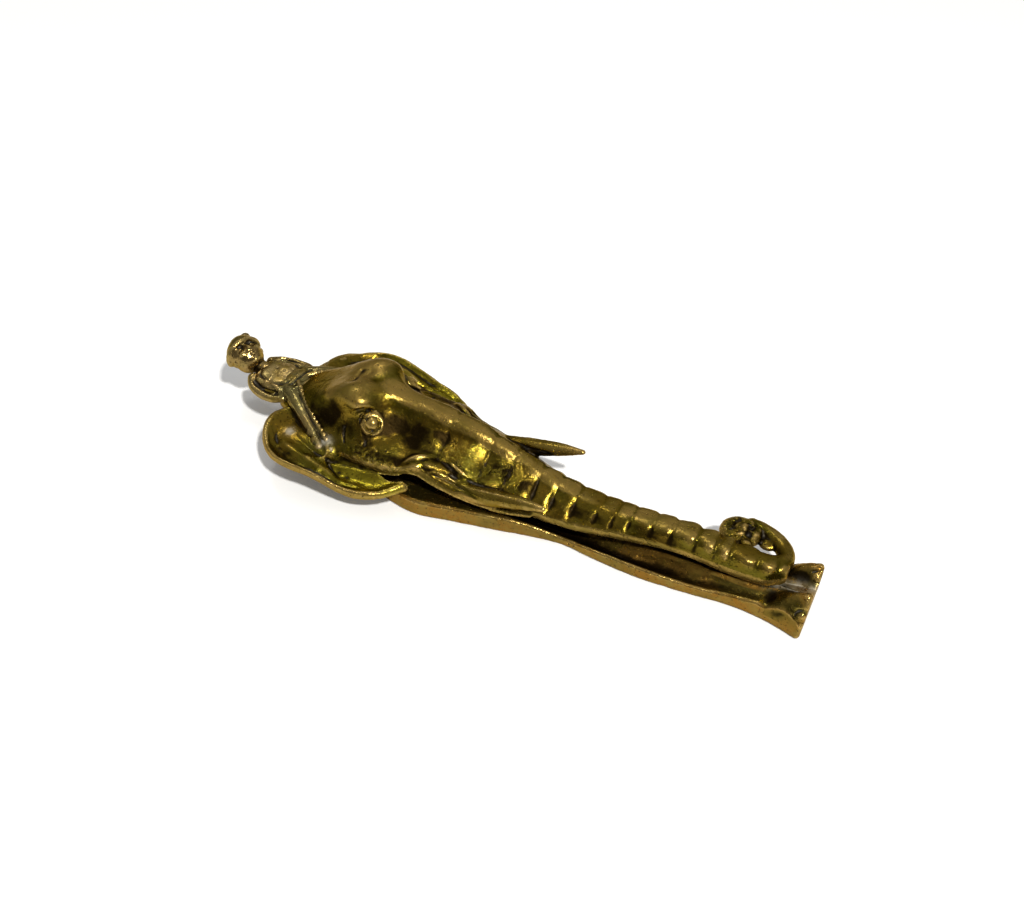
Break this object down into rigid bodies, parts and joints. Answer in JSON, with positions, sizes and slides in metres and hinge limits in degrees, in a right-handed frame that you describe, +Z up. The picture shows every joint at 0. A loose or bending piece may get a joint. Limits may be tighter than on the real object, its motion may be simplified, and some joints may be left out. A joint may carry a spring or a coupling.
{
  "type": "figural lever nutcracker",
  "caption": "Cast brass lever nutcracker shaped as an elephant's head with a rider behind it; the trunk and the legs are the handles and close on a toothed nut space.",
  "frame": {"origin": "on the flat back of the leg lever, where it lies on the table, midway between the rider's head and the soles", "axes": "+X along the handles towards the feet and the trunk's tip, +Z up out of the table towards the elephant's forehead, +Y to the side that the trunk's tip curls to"},
  "size_m": [0.2029, 0.0658, 0.0291],
  "materials": {
    "cast_brass_head": "aged cast brass, polished on the ridges, brown and olive in the hollows",
    "cast_brass_legs": "aged cast brass, satin and orange-tan along the rims",
    "pin_brass": "dull drawn brass"
  },
  "bodies": {
    "legs": {"leg_lever": "cast_brass_legs"},
    "head": {"head_lever": "cast_brass_head", "hinge_pin": "pin_brass"}
  },
  "joints": [
    {"name": "lever_hinge", "type": "hinge", "parent": "legs", "child": "head", "pos_m": [-0.067, 0, 0.0065], "axis": [0, -1, 0], "range_deg": [0, 58]}
  ]
}
